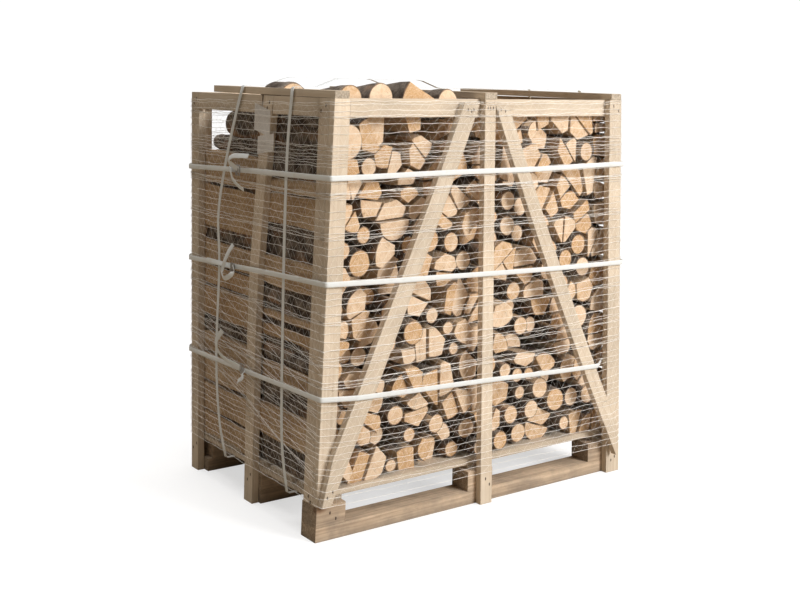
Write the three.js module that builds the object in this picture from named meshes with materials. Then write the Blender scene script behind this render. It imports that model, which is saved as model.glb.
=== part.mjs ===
// A pallet crate of split birch firewood: pallet, slatted frame, stacked logs, straps and net.
// Millimetres, +Z up. The origin is on the floor under the middle of the crate. The long front
// face looks along -Y, and the back and right faces are the front and left faces turned half round.
import * as THREE from 'three';

// Crate
const WIDTH = 1194; // over the corner boards, at the floor
const DEPTH = 775; // between the outer faces of the front and back corner boards
const HEIGHT = 1219; // top of the posts
const BOARD = 22; // thickness of every frame board
const SLAT = 50; // width of a frame board
const NEAR_SLAT = 48;
const FAR_SLAT = 46;
const GAP = 0.3; // clearance between boards that touch
const RAIL_BOTTOM = 1169;

// Pallet
const SKID = { depth: 76, height: 42, left: -597, right: 574 };
const BLOCK = { width: 97, top: 104 };
const STRINGER = { width: 74, thickness: 13.7 };
const DECK = { boards: 5, width: 122, thickness: 17.7, halfLength: 574 };

// Load
const LOAD = { halfWidth: 573, nearY: 4, farY: 362, top: 1217, crown: 1262, hollow: 1045 };

// Wrapping: every layer is measured outwards from the boards it lies on
const NET = { inner: 3, thickness: 1.2, bottom: 107, top: 1243 };
const UPRIGHT_STRAP = { inner: 5.4, thickness: 1, width: 14 };
const BELT = { inner: 7.8, thickness: 1.2, width: 15 };
const LABEL = { thickness: 0.6, lift: 0.5 };
const PUSH = 33; // how much further out the wrapping stands at the foot of the front second brace
const PUSH_FROM = 200; // how far right of the middle post it stands out that much
const EDGE_EASE = 2; // takes the sharp edge off a corner board
const BRACE_EASE = 4; // how far left of the first brace's edge the wrapping turns over it

// Left and right edges of the slanting boards, as [z, x] from the foot up
const FIRST_BRACE = {
  left: [[108, -594], [246, -564], [637, -394], [1210, -133]],
  right: [[108, -564], [637, -330], [1210, -70]],
};
const SECOND_BRACE = { left: [[66, 542], [1200, -4]], right: [[181, 542], [1200, 52]] };
const MIDDLE_POST = [-19, 25];
const POST_DRIFT = 31; // how far left of its foot the middle post's top stands
const END_POST = [523, 581];
const BRACE_TURN = -590;
const BELT_ROOM = 3; // between the end post and the far slat, for a belt behind the post
const POST_CORNER = 0.35; // share of an offset that moves the wrapping's turn over the end post
const SIDE_CORNER = 0.4; // and its turn on to the far slat

const HALF_WIDTH = WIDTH / 2;
const FRONT = -DEPTH / 2; // outer face of the corner board, rails, blocks and skid
const OUTER = FRONT - BOARD; // outer face of the posts nailed over them
const LEFT = -HALF_WIDTH;
const INSIDE = FRONT + BOARD + GAP; // where the side boards, deck and load start
const STRINGER_BOTTOM = BLOCK.top + GAP;
const DECK_BOTTOM = STRINGER_BOTTOM + STRINGER.thickness + GAP;
const LOAD_BOTTOM = DECK_BOTTOM + DECK.thickness + GAP;
const CELL = 190; // longest step along a board, so that it can follow the crate's lean

// The crate has racked in use: how far each corner's top has moved in X and Y
const RACK = {
  frontLeft: [35, -27],
  frontRight: [-37, 44],
  backLeft: [15, -8],
  backRight: [-20, 20],
};

const crate = new THREE.Group();

function mix(a, b, t) {
  return a + (b - a) * t;
}

function lerpCorners(values, x, y) {
  const s = x / WIDTH + 0.5;
  const t = y / DEPTH + 0.5;
  const front = mix(values.frontLeft, values.frontRight, s);
  const back = mix(values.backLeft, values.backRight, s);
  return mix(front, back, t);
}

function corners(axis) {
  return Object.fromEntries(Object.entries(RACK).map(([corner, move]) => [corner, move[axis]]));
}

const RACK_X = corners(0);
const RACK_Y = corners(1);

// Moves a point as the racked crate does: nothing at the floor, most at the top.
function rack(point) {
  const rise = point.z / HEIGHT;
  const dx = lerpCorners(RACK_X, point.x, point.y) * rise;
  const dy = lerpCorners(RACK_Y, point.x, point.y) * rise;
  point.x += dx;
  point.y += dy;
}

// Height along a line of [position, value] stations.
function along(stations, position) {
  const last = stations[stations.length - 1];
  if (position >= last[0]) {
    return last[1];
  }
  const next = stations.findIndex(([at]) => at > position);
  if (next <= 0) {
    return stations[0][1];
  }
  const [a, b] = [stations[next - 1], stations[next]];
  return mix(a[1], b[1], (position - a[0]) / (b[0] - a[0]));
}

// Height at which a straight edge of two [z, x] ends reaches x.
function heightAt([foot, head], x) {
  return mix(foot[0], head[0], (x - foot[1]) / (head[1] - foot[1]));
}

// Adds one named piece. bend moves its points before the piece is turned and racked, and turned
// puts it on the opposite side of the crate.
function addPiece(name, geometry, material, { bend, turned = false } = {}) {
  const points = geometry.attributes.position;
  const point = new THREE.Vector3();
  for (let i = 0; i < points.count; i += 1) {
    point.fromBufferAttribute(points, i);
    if (bend) {
      bend(point);
    }
    if (turned) {
      point.set(-point.x, -point.y, point.z);
    }
    rack(point);
    points.setXYZ(i, point.x, point.y, point.z);
  }
  geometry.computeBoundingBox();
  const centre = geometry.boundingBox.getCenter(new THREE.Vector3());
  geometry.translate(-centre.x, -centre.y, -centre.z);
  const mesh = new THREE.Mesh(geometry, material);
  mesh.name = name;
  mesh.position.copy(centre);
  crate.add(mesh);
}

function sawnTimber() {
  return new THREE.MeshStandardMaterial({ color: 0xe0cbb0, roughness: 0.85, metalness: 0 });
}

function weatheredTimber() {
  return new THREE.MeshStandardMaterial({ color: 0xa8957e, roughness: 0.9, metalness: 0 });
}

function birch() {
  return new THREE.MeshStandardMaterial({ color: 0xd9b483, roughness: 0.9, metalness: 0 });
}

function strapping() {
  return new THREE.MeshStandardMaterial({ color: 0xeef2ef, roughness: 0.45, metalness: 0 });
}

function netting() {
  return new THREE.MeshStandardMaterial({ color: 0xe8e6e0, roughness: 0.6, metalness: 0 });
}

function paper() {
  return new THREE.MeshStandardMaterial({ color: 0xcfcac4, roughness: 0.8, metalness: 0 });
}

// A straight board between two values on each axis, in steps short enough to follow the lean.
function board(x, y, z) {
  const size = [x, y, z].map(([low, high]) => high - low);
  const steps = size.map((length) => Math.ceil(length / CELL));
  const geometry = new THREE.BoxGeometry(...size, ...steps);
  geometry.translate((x[0] + x[1]) / 2, (y[0] + y[1]) / 2, (z[0] + z[1]) / 2);
  return geometry;
}

// A board nailed slantwise over the frame, between a left and a right edge given as [z, x]
// stations from the foot up. y is the face against the frame.
function slantingBoard(leftEdge, rightEdge, y) {
  const geometry = new THREE.BoxGeometry(1, BOARD, 1, 1, 1, 8);
  const points = geometry.attributes.position;
  const onEdge = (stations, t) => {
    const z = mix(stations[0][0], stations[stations.length - 1][0], t);
    return new THREE.Vector2(along(stations, z), z);
  };
  for (let i = 0; i < points.count; i += 1) {
    const t = points.getZ(i) + 0.5;
    const at = onEdge(leftEdge, t).lerp(onEdge(rightEdge, t), points.getX(i) + 0.5);
    points.setXYZ(i, at.x, y - BOARD / 2 + points.getY(i), at.y);
  }
  return geometry;
}

// Pallet: skids, blocks, stringers and deck boards

function buildPallet() {
  const skid = (y, left, right) => board([left, right], [y, y + SKID.depth], [0, SKID.height]);
  const block = (x, y) =>
    board([x, x + BLOCK.width], [y, y + SKID.depth], [SKID.height + GAP, BLOCK.top]);
  const sides = [['front', false], ['back', true]];
  for (const [side, turned] of sides) {
    addPiece(`skid_${side}`, skid(FRONT, SKID.left, SKID.right), weatheredTimber(), { turned });
    const lefts = { a: SKID.left, b: -53, c: 460 };
    for (const [place, x] of Object.entries(lefts)) {
      addPiece(`block_${side}_${place}`, block(x, FRONT), weatheredTimber(), { turned });
    }
  }
  const middle = -SKID.depth / 2;
  addPiece('skid_middle', skid(middle, -DECK.halfLength, DECK.halfLength), weatheredTimber());
  const middles = { a: -DECK.halfLength, b: -BLOCK.width / 2, c: DECK.halfLength - BLOCK.width };
  for (const [place, x] of Object.entries(middles)) {
    addPiece(`block_middle_${place}`, block(x, middle), weatheredTimber());
  }
  const stringerZ = [STRINGER_BOTTOM, STRINGER_BOTTOM + STRINGER.thickness];
  const spacing = DECK.halfLength - STRINGER.width / 2;
  for (const [i, side] of ['left', 'middle', 'right'].entries()) {
    const x = (i - 1) * spacing;
    const span = [x - STRINGER.width / 2, x + STRINGER.width / 2];
    addPiece(`stringer_${side}`, board(span, [INSIDE, -INSIDE], stringerZ), sawnTimber());
  }
  const pitch = (-2 * INSIDE - DECK.width) / (DECK.boards - 1);
  for (let i = 0; i < DECK.boards; i += 1) {
    const y = INSIDE + i * pitch;
    const across = [-DECK.halfLength, DECK.halfLength];
    const z = [DECK_BOTTOM, DECK_BOTTOM + DECK.thickness];
    addPiece(`deck_board_${i + 1}`, board(across, [y, y + DECK.width], z), sawnTimber());
  }
}

// Frame: one long side and one short side, each built twice, half a turn apart

function buildLongSide(side, turned) {
  const add = (name, geometry, bend) =>
    addPiece(`${name}_${side}`, geometry, sawnTimber(), { turned, bend });
  const inner = [FRONT, FRONT + BOARD];
  const outer = [OUTER - GAP, FRONT - GAP];
  const railZ = [RAIL_BOTTOM, HEIGHT];
  add('corner_post', board([LEFT, LEFT + 54], inner, [BLOCK.top + GAP, HEIGHT]));
  add('rail_a', board([LEFT + 54 + GAP, -25 - GAP], inner, railZ));
  add('rail_b', board([-25, DECK.halfLength], inner, railZ));
  add('middle_post', board(MIDDLE_POST, outer, [0, HEIGHT]), (point) => {
    point.x -= POST_DRIFT * (point.z / HEIGHT);
  });
  add('end_post', board(END_POST, outer, [0, HEIGHT]));
  add('brace_a', slantingBoard(FIRST_BRACE.left, FIRST_BRACE.right, FRONT - GAP));
  if (turned) {
    // The back's second brace stops against the end post.
    const sawnOff = (edge) => [[heightAt(edge, END_POST[0] - GAP), END_POST[0] - GAP], edge[1]];
    const { left, right } = SECOND_BRACE;
    add('brace_b', slantingBoard(sawnOff(left), sawnOff(right), FRONT - GAP));
    return;
  }
  // The front's starts on the rail and climbs over the end post, so it slopes outwards. Its foot
  // is sawn off upright a little short of the post's outer edge.
  const top = SECOND_BRACE.left[1][0];
  const postTop = heightAt(SECOND_BRACE.right, END_POST[0]); // where it comes clear of the post
  const climb = (BOARD + 2 * GAP) / (top - postTop);
  add('brace_b', slantingBoard(SECOND_BRACE.left, SECOND_BRACE.right, FRONT - GAP), (point) => {
    point.y -= (top - point.z) * climb;
  });
}

function buildShortSide(side, turned) {
  const add = (name, geometry, bend) =>
    addPiece(`${name}_${side}`, geometry, sawnTimber(), { turned, bend });
  const thick = [LEFT, LEFT + BOARD];
  const railZ = [RAIL_BOTTOM, HEIGHT];
  const far = -FRONT - BELT_ROOM;
  const nearPost = INSIDE + NEAR_SLAT;
  add('near_slat', board(thick, [INSIDE, nearPost], [BLOCK.top + GAP, HEIGHT]));
  add('far_slat', board(thick, [far - FAR_SLAT, far], [0, HEIGHT]));
  // The middle slat bows towards the front over its upper half.
  const bowFrom = 600;
  const bow = 65;
  add('middle_slat', board(thick, [-25, 25], [0, HEIGHT]), (point) => {
    const rise = Math.max(0, point.z - bowFrom) / (HEIGHT - bowFrom);
    point.y -= bow * rise ** 1.3;
  });
  add('side_rail_near', board(thick, [nearPost + GAP, -90 - GAP], railZ));
  add('side_rail_far', board(thick, [-32, far - FAR_SLAT - GAP], railZ));
}

function buildBattens() {
  const z = [HEIGHT + GAP, HEIGHT + 19.5];
  const lift = (point) => {
    point.z += 4 * ((point.y - FRONT) / DEPTH);
  };
  const add = (name, x, y) => addPiece(name, board(x, y, z), sawnTimber(), { bend: lift });
  add('top_batten_left', [LEFT, LEFT + SLAT], [FRONT, 245]);
  add('top_batten_middle', [-50, 0], [OUTER, -OUTER]);
  add('top_batten_right', [531, 581], [OUTER, -FRONT]);
}

// Load: four stacks of logs that lie along Y, each a solid out to the log tips

function buildLoad() {
  const crownLeft = [[-509, LOAD.top], [-446, LOAD.crown], [-128, LOAD.crown], [-65, LOAD.top]];
  const level = [[0, LOAD.top]];
  const hollowLeft = [[-300, LOAD.hollow], [-230, LOAD.top]];
  const stacks = [
    ['log_stack_front_left', -1, -1, crownLeft],
    ['log_stack_front_right', 1, -1, level],
    ['log_stack_back_left', -1, 1, hollowLeft],
    ['log_stack_back_right', 1, 1, level],
  ];
  for (const [name, sideX, sideY, crown] of stacks) {
    const x = [1, LOAD.halfWidth].map((value) => value * sideX).sort((a, b) => a - b);
    const y = [LOAD.nearY, LOAD.farY].map((value) => value * sideY).sort((a, b) => a - b);
    const geometry = new THREE.BoxGeometry(x[1] - x[0], y[1] - y[0], 1, 9, 2, 7);
    geometry.translate((x[0] + x[1]) / 2, (y[0] + y[1]) / 2, 0.5);
    addPiece(name, geometry, birch(), {
      bend: (point) => {
        point.z = mix(LOAD_BOTTOM, along(crown, point.x), point.z);
      },
    });
  }
}

// Wrapping

// Fits the wrapping over the slanting boards. Left of the first brace it runs straight from the
// corner board to the brace's edge, and low down the front's second brace pushes it out.
function overBraces(point) {
  if (Math.abs(point.y) <= -OUTER) {
    return;
  }
  const side = -Math.sign(point.y);
  const x = side * point.x;
  if (x < 0) {
    const edge = along(FIRST_BRACE.left, point.z) - BRACE_EASE;
    point.x = side * mix(edge, 0, (x - BRACE_TURN) / -BRACE_TURN);
  }
  if (side > 0) {
    const low = 1 - Math.min(point.z, HEIGHT) / HEIGHT;
    point.y -= PUSH * low * THREE.MathUtils.clamp(x / PUSH_FROM, 0, 1);
  }
}

// A closed outline round the crate, offset outwards, in short steps. BRACE_TURN is where it turns
// over the first brace before it is fitted to that brace's slant.
function roundCrate(offset) {
  const side = HALF_WIDTH + offset;
  const front = -OUTER + offset;
  const half = [
    [-side, FRONT - offset + EDGE_EASE],
    [-side + EDGE_EASE, FRONT - offset],
    [BRACE_TURN, -front],
    [END_POST[1] + POST_CORNER * offset, -front],
    [side, FRONT + BELT_ROOM - SIDE_CORNER * offset],
  ];
  const turns = [...half, ...half.map(([x, y]) => [-x, -y])];
  const outline = [];
  turns.forEach((from, i) => {
    const to = turns[(i + 1) % turns.length];
    const steps = Math.ceil(Math.hypot(to[0] - from[0], to[1] - from[1]) / (CELL * 0.55));
    for (let step = 0; step < steps; step += 1) {
      const t = step / steps;
      outline.push(new THREE.Vector2(mix(from[0], to[0], t), mix(from[1], to[1], t)));
    }
  });
  return outline;
}

// A closed band with a thin rectangular section: a ring's points are moved to an outer and an
// inner outline that have as many points each, at every level from the lowest to the highest.
function band(outer, inner, levels) {
  const section = [
    ...levels.map((level) => [outer, level]),
    ...levels.map((level) => [inner, level]).reverse(),
  ];
  const geometry = new THREE.TorusGeometry(1, 0.5, section.length, outer.length);
  const points = geometry.attributes.position;
  for (let j = 0; j <= section.length; j += 1) {
    const [outline, level] = section[j % section.length];
    for (let i = 0; i <= outer.length; i += 1) {
      const { x, y } = outline[i % outer.length];
      points.setXYZ(j * (outer.length + 1) + i, x, y, level);
    }
  }
  // The inner side's squares are halved along the outer side's diagonals, or the two would cross.
  const first = levels.length * outer.length;
  const last = (section.length - 1) * outer.length;
  for (let square = first; square < last; square += 1) {
    const [a, b, d, , c] = geometry.index.array.slice(6 * square, 6 * square + 6);
    geometry.index.array.set([a, b, c, a, c, d], 6 * square);
  }
  return geometry;
}

function buildNet() {
  const outer = roundCrate(NET.inner + NET.thickness);
  const levels = Array.from({ length: 10 }, (_, i) => mix(NET.bottom, NET.top, i / 9));
  const geometry = band(outer, roundCrate(NET.inner), levels);
  addPiece('net_sleeve', geometry, netting(), { bend: overBraces });
}

// Three belts round the crate. Each is higher at some corners than at others.
function buildBelts() {
  const belts = {
    belt_upper: { frontLeft: 1013, frontRight: 1019, backRight: 1005, backLeft: 990 },
    belt_middle: { frontLeft: 731, frontRight: 702, backRight: 700, backLeft: 701 },
    belt_lower: { frontLeft: 414, frontRight: 376, backRight: 390, backLeft: 401 },
  };
  for (const [name, height] of Object.entries(belts)) {
    const outer = roundCrate(BELT.inner + BELT.thickness);
    const levels = [-BELT.width / 2, BELT.width / 2];
    const geometry = band(outer, roundCrate(BELT.inner), levels);
    addPiece(name, geometry, strapping(), {
      bend: (point) => {
        point.z += lerpCorners(height, point.x, point.y);
        overBraces(point);
      },
    });
  }
}

// Two straps up the left side, over the top and under the deck. stations are [z, y] up the left
// side, where a strap hangs a little slack, and it is straight elsewhere.
function buildUprightStraps() {
  const straps = {
    upright_strap_near: [[102, -238], [249, -199], [511, -186], [824, -178], [1074, -179],
      [1234, -194]],
    upright_strap_far: [[102, 135], [211, 181], [409, 205], [701, 192], [854, 201], [1008, 162],
      [1167, 101], [1240, 67]],
  };
  const under = STRINGER_BOTTOM - 1;
  const topZ = HEIGHT + 26;
  const crown = LOAD.crown + 7;
  for (const [name, stations] of Object.entries(straps)) {
    const rises = [200, 300, 400, 500, 600, 700, 800, 900, 1000, 1100, 1180];
    const outlineAt = (offset) => {
      const side = HALF_WIDTH + UPRIGHT_STRAP.inner + offset;
      const top = [[-540, topZ], [-446, crown], [-128, crown], [-50, topZ], [200, topZ]];
      const points = [
        ...rises.map((z) => [-side, z]),
        [-side, topZ + offset],
        ...top.map(([x, z]) => [x, z + offset]),
        [side, topZ + offset],
        [side, 700],
        [side, under - offset],
        [0, under - offset],
        [-side, under - offset],
      ];
      return points.reverse().map(([x, z]) => new THREE.Vector2(x, z));
    };
    const levels = [-UPRIGHT_STRAP.width / 2, UPRIGHT_STRAP.width / 2];
    const geometry = band(outlineAt(UPRIGHT_STRAP.thickness), outlineAt(0), levels);
    geometry.rotateX(Math.PI / 2);
    const [low, high] = [stations[0][1], stations[stations.length - 1][1]];
    addPiece(name, geometry, strapping(), {
      bend: (point) => {
        const leftness = Math.min(1, Math.max(0, 0.5 - point.x / WIDTH));
        const straight = mix(low, high, point.z / HEIGHT);
        point.y += mix(straight, along(stations, point.z), leftness ** 2);
      },
    });
  }
}

function buildLabels() {
  const x = [LEFT - LABEL.lift - LABEL.thickness, LEFT - LABEL.lift];
  addPiece('label_upper', board(x, [-78, 6], [1112, 1187]), paper());
  addPiece('label_lower', board(x, [-100, -14], [1059, 1109]), paper());
}

buildPallet();
buildLongSide('front', false);
buildLongSide('back', true);
buildShortSide('left', false);
buildShortSide('right', true);
buildBattens();
buildLoad();
buildNet();
buildBelts();
buildUprightStraps();
buildLabels();

// The floor stays at zero, and the middle of the crate comes to the origin.
const bounds = new THREE.Box3().setFromObject(crate);
crate.position.x = -(bounds.min.x + bounds.max.x) / 2;
crate.position.y = -(bounds.min.y + bounds.max.y) / 2;

export default crate;
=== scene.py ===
import cmath
import math
import random

import bpy
import numpy as np
from mathutils import Matrix, Vector, noise


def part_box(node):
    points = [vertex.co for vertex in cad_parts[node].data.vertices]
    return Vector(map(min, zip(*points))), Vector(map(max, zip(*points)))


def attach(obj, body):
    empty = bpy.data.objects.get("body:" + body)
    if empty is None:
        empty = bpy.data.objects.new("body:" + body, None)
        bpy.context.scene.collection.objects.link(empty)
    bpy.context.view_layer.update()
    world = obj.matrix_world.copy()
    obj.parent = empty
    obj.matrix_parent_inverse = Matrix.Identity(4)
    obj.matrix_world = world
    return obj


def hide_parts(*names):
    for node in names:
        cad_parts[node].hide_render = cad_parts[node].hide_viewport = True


bl_info = {
    "name": "Crated Birch Firewood",
    "version": (1, 0, 0),
    "blender": (4, 5, 0),
    "location": "View3D > Sidebar > Firewood",
    "description": "Finishes a pallet crate of birch logs with net, belts and studio",
    "category": "Object",
}

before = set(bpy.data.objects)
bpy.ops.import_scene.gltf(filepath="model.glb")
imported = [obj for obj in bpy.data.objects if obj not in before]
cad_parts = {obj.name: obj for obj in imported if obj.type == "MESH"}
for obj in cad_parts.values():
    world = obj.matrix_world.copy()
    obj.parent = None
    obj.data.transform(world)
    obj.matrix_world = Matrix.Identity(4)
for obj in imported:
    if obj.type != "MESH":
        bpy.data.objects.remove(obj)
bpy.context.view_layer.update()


def floor_corners(node):
    """Lowest and highest floor-level corner of a node, where the crate hasn't leaned."""
    points = [v.co[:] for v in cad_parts[node].data.vertices]
    floor = np.array([p for p in points if p[2] < 1e-4])
    return floor.min(0), floor.max(0)


# The crate's own size, off the skids and the top rail
NEAR_FLOOR = floor_corners("skid_front")[0]
FAR_FLOOR = floor_corners("skid_back")[1]
CENTRE = (NEAR_FLOOR + FAR_FLOOR)[:2] / 2
WIDTH, DEPTH = (FAR_FLOOR - NEAR_FLOOR)[:2]
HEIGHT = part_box("rail_a_front")[1].z

BOARD = 0.022  # thickness of a frame board
SIDE = WIDTH / 2  # outer face of the side slats
DECK_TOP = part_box("deck_board_1")[1].z + 0.0003
LOAD_HALF = 0.573  # half width of the stacks
LOAD_NEAR, LOAD_FAR = 0.004, 0.362  # where a row of logs starts and ends, along Y
LOG_TRIES = 1200  # log middles tried in each row before it is full
LOG_ROUNDS = 260  # times that the logs push each other apart
LOG_FILL = 0.93  # share of a row's end that the logs' circles cover
SHADE_SCREEN = (0.550, 0.560)  # how far out the bark-clad sheets of painted shade inside a stack's ends are
SHADE_SCREEN_RUN = (0.330, 0.014)  # where those painted-shade sheets start and end, along Y
NET_ROWS = (0.110, 1.222)  # heights of the lowest and highest row of the net
NET_REACH = (0.108, 1.226)  # heights that its threads stay between
NOT_BOARDS = ("belt", "upright", "net", "label", "log")


# ---------------------------------------------------------------- sizes and colours


def lean_property(corner, default):
    """How far a corner of the crate leans."""
    return bpy.props.FloatVectorProperty(
        name=corner + " lean", description="How far that corner's top has moved in X and Y",
        size=2, default=default, subtype="TRANSLATION", unit="LENGTH")


def length_property(name, description, default, least):
    """A length a user can change."""
    return bpy.props.FloatProperty(
        name=name, description=description, default=default, min=least, unit="LENGTH")


class CrateSizes(bpy.types.PropertyGroup):
    """Sizes that a user would change."""

    lean_front_left: lean_property("Front left", (0.035, -0.027))
    lean_front_right: lean_property("Front right", (-0.037, 0.044))
    lean_back_left: lean_property("Back left", (0.015, -0.008))
    lean_back_right: lean_property("Back right", (-0.020, 0.020))
    log_gap: length_property("Log gap", "Least gap between two logs", 0.003, 0.0)
    net_pitch: length_property("Net pitch", "Height between two rows of the net", 0.025, 0.01)
    net_thread: length_property("Net thread", "Thickness of a row's thread", 0.0013, 0.0002)
    belt_width: length_property("Belt width", "Width of a belt round the crate", 0.015, 0.005)
    upright_width: length_property(
        "Upright strap width", "Width of a strap over the top", 0.014, 0.005)


def colour_property(name, description, default):
    """A colour a user can pick."""
    return bpy.props.FloatVectorProperty(
        name=name, description=description, size=3, default=default,
        min=0.0, max=1.0, subtype="COLOR")


class CrateColours(bpy.types.PropertyGroup):
    """Colours that a user would change."""

    sawn_pale: colour_property("Sawn pale", "Early wood of a sawn board", (0.66, 0.56, 0.44))
    sawn_dark: colour_property("Sawn dark", "Late wood of a sawn board", (0.49, 0.37, 0.25))
    weathered_pale: colour_property("Weathered pale", "Pallet timber", (0.62, 0.47, 0.33))
    weathered_dark: colour_property("Weathered dark", "Pallet timber's grain", (0.25, 0.17, 0.11))
    end_pale: colour_property("Log end pale", "Fresh sawn log end", (0.79, 0.60, 0.42))
    end_deep: colour_property("Log end deep", "Older sawn log end", (0.55, 0.31, 0.12))
    split: colour_property("Split face", "Split birch wood", (0.62, 0.47, 0.315))
    bark_pale: colour_property("Bark pale", "Outer birch bark", (0.25, 0.205, 0.165))
    bark_dark: colour_property("Bark dark", "Furrows and scars", (0.06, 0.042, 0.03))
    strap: colour_property("Strap", "Woven strapping", (0.74, 0.76, 0.755))
    net: colour_property("Net", "Net threads", (0.95, 0.93, 0.89))
    paper: colour_property("Paper", "Label paper", (0.70, 0.68, 0.66))


def sizes():
    return bpy.context.scene.crate_sizes


def rgba(name):
    return (*getattr(bpy.context.scene.crate_colours, name), 1.0)


# ---------------------------------------------------------------- shape helpers


def lean(points):
    """Moves points of the upright crate to where they are in the leaning one."""
    p = np.array(points, float).reshape(-1, 3)
    s, t, rise = p[:, 0] / WIDTH + 0.5, p[:, 1] / DEPTH + 0.5, p[:, 2] / HEIGHT
    moved = p.copy()
    for axis in (0, 1):
        front = sizes().lean_front_left[axis] * (1 - s) + sizes().lean_front_right[axis] * s
        back = sizes().lean_back_left[axis] * (1 - s) + sizes().lean_back_right[axis] * s
        moved[:, axis] += (front * (1 - t) + back * t) * rise + CENTRE[axis]
    return moved


def smooth_line(stations, count):
    """A smooth line of count points through the stations."""
    stations = np.array(stations, float)
    last = len(stations) - 1
    points = []
    for at in np.linspace(0, last, count):
        i = min(int(at), last - 1)
        f = at - i
        a, b, c, d = (stations[min(max(i + k, 0), last)] for k in (-1, 0, 1, 2))
        points.append(0.5 * (2 * b + (c - a) * f + (2 * a - 5 * b + 4 * c - d) * f ** 2
                             + (3 * b - a - 3 * c + d) * f ** 3))
    return np.array(points)


class Shape:
    """Gathers the parts of one piece before its mesh is made."""

    def __init__(self):
        self.points, self.faces, self.finish = [], [], []
        self.marks = {}
        self.count = 0

    def add(self, points, faces, finish=0, **marks):
        """Adds a part. finish is one material number, or one for each face."""
        self.points.append(np.array(points, float).reshape(-1, 3))
        self.faces.extend(tuple(self.count + i for i in face) for face in faces)
        self.finish.extend([finish] * len(faces) if isinstance(finish, int) else finish)
        for name, values in marks.items():
            self.marks.setdefault(name, []).append(np.array(values, float).reshape(-1, 3))
        self.count += len(self.points[-1])

    def make(self, name, materials, slot=None, replaces=(), sharp=35.0, leaned=False):
        """Makes the piece's object, leans it with the crate, and has it ride on the crate."""
        mesh = bpy.data.meshes.new(name)
        points = np.concatenate(self.points)
        mesh.from_pydata((points if leaned else lean(points)).tolist(), [], self.faces)
        for material in materials:
            mesh.materials.append(material)
        mesh.polygons.foreach_set("material_index", self.finish)
        mesh.polygons.foreach_set("use_smooth", [True] * len(mesh.polygons))
        for mark, values in self.marks.items():
            kept = mesh.attributes.new(mark, "FLOAT_VECTOR", "POINT")
            kept.data.foreach_set("vector", np.concatenate(values).ravel())
        mesh.set_sharp_from_angle(angle=math.radians(sharp))
        mesh.validate()
        piece = bpy.data.objects.new(name, mesh)
        bpy.context.scene.collection.objects.link(piece)
        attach(piece, "root")
        if replaces:
            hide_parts(*replaces)
        return piece


def ring_faces(rings, sides, closed=False):
    """The faces between one ring of points and the next."""
    return [(i * sides + j, i * sides + (j + 1) % sides,
             (i + 1) % rings * sides + (j + 1) % sides, (i + 1) % rings * sides + j)
            for i in range(rings if closed else rings - 1) for j in range(sides)]


def sweep(shape, path, outward, profile, closed=False, finish=0):
    """Adds a strand or strap: profile is its section as (outwards, across) pairs."""
    path, outward = np.array(path, float), np.array(outward, float)
    n, m = len(path), len(profile)
    if closed:
        tangent = np.roll(path, -1, 0) - np.roll(path, 1, 0)
    else:
        tangent = np.gradient(path, axis=0)
    tangent /= np.linalg.norm(tangent, axis=1, keepdims=True) + 1e-12
    across = np.cross(tangent, outward)
    across /= np.linalg.norm(across, axis=1, keepdims=True) + 1e-12
    outward = np.cross(across, tangent)
    profile = np.array(profile, float)
    rings = (path[:, None] + outward[:, None] * profile[None, :, :1]
             + across[:, None] * profile[None, :, 1:])
    faces = ring_faces(n, m, closed)
    if not closed:
        faces += [tuple(range(m))[::-1], tuple((n - 1) * m + j for j in range(m))]
    run = np.concatenate([[0], np.cumsum(np.linalg.norm(np.diff(path, axis=0), axis=1))])
    marks = np.zeros((n, m, 3))
    marks[..., 0] = run[:, None]
    marks[..., 1] = profile[None, :, 1]
    shape.add(rings, faces, finish, lay=marks)


def strand(radius, sides=3):
    """The section of a round strand."""
    return [(radius * math.cos(a), radius * math.sin(a))
            for a in np.linspace(0, 2 * math.pi, sides, endpoint=False)]


def strap_section(width, thickness):
    """The section of a flat strap with eased edges."""
    w, t, e = width / 2, thickness / 2, thickness * 0.35
    return [(-t, -w + e), (-t + e, -w), (t - e, -w), (t, -w + e),
            (t, -w / 3), (t, w / 3),
            (t, w - e), (t - e, w), (-t + e, w), (-t, w - e)]


def board_sections(height, leave_out=()):
    """Where the boards cross a level surface given as its height at each x and y."""
    found = []
    for name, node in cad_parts.items():
        if name.startswith(NOT_BOARDS + tuple(leave_out)):
            continue
        p = np.array([v.co[:] for v in node.data.vertices])
        over = p[:, 2] - height(p[:, 0], p[:, 1])
        a, b = np.array([e.vertices[:] for e in node.data.edges]).T
        crossed = (over[a] < 0) != (over[b] < 0)
        a, b = a[crossed], b[crossed]
        share = (over[a] / (over[a] - over[b]))[:, None]
        found.append((p[a] + (p[b] - p[a]) * share)[:, :2])
    return np.concatenate(found)


def taut_outline(points, offset, step=0.02):
    """A taut loop round flat points, offset outwards: its points and outward directions."""
    ordered = sorted(map(tuple, points))
    hull = []
    for run in (ordered, ordered[::-1]):
        chain = []
        for p in run:
            while len(chain) > 1 and ((chain[-1][0] - chain[-2][0]) * (p[1] - chain[-2][1])
                                      - (chain[-1][1] - chain[-2][1]) * (p[0] - chain[-2][0])) <= 0:
                chain.pop()
            chain.append(p)
        hull += chain[:-1]
    hull = np.array([p for k, p in enumerate(hull) if math.dist(p, hull[k - 1]) > 0.0015])
    sides = np.roll(hull, -1, 0) - hull
    ways = np.arctan2(-sides[:, 0], sides[:, 1])
    places, outward = [], []
    for k, corner in enumerate(hull):
        turn = (ways[k] - ways[k - 1]) % (2 * math.pi)
        for way in ways[k - 1] + turn * np.linspace(0, 1, 2 + int(turn / 0.35)):
            out = np.array([math.cos(way), math.sin(way)])
            places.append(corner + out * offset)
            outward.append(out)
        count = int(np.linalg.norm(sides[k]) / step)
        for t in np.linspace(0, 1, count + 2)[1:-1]:
            places.append(corner + sides[k] * t + out * offset)
            outward.append(out)
    return np.array(places), np.array(outward)


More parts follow.
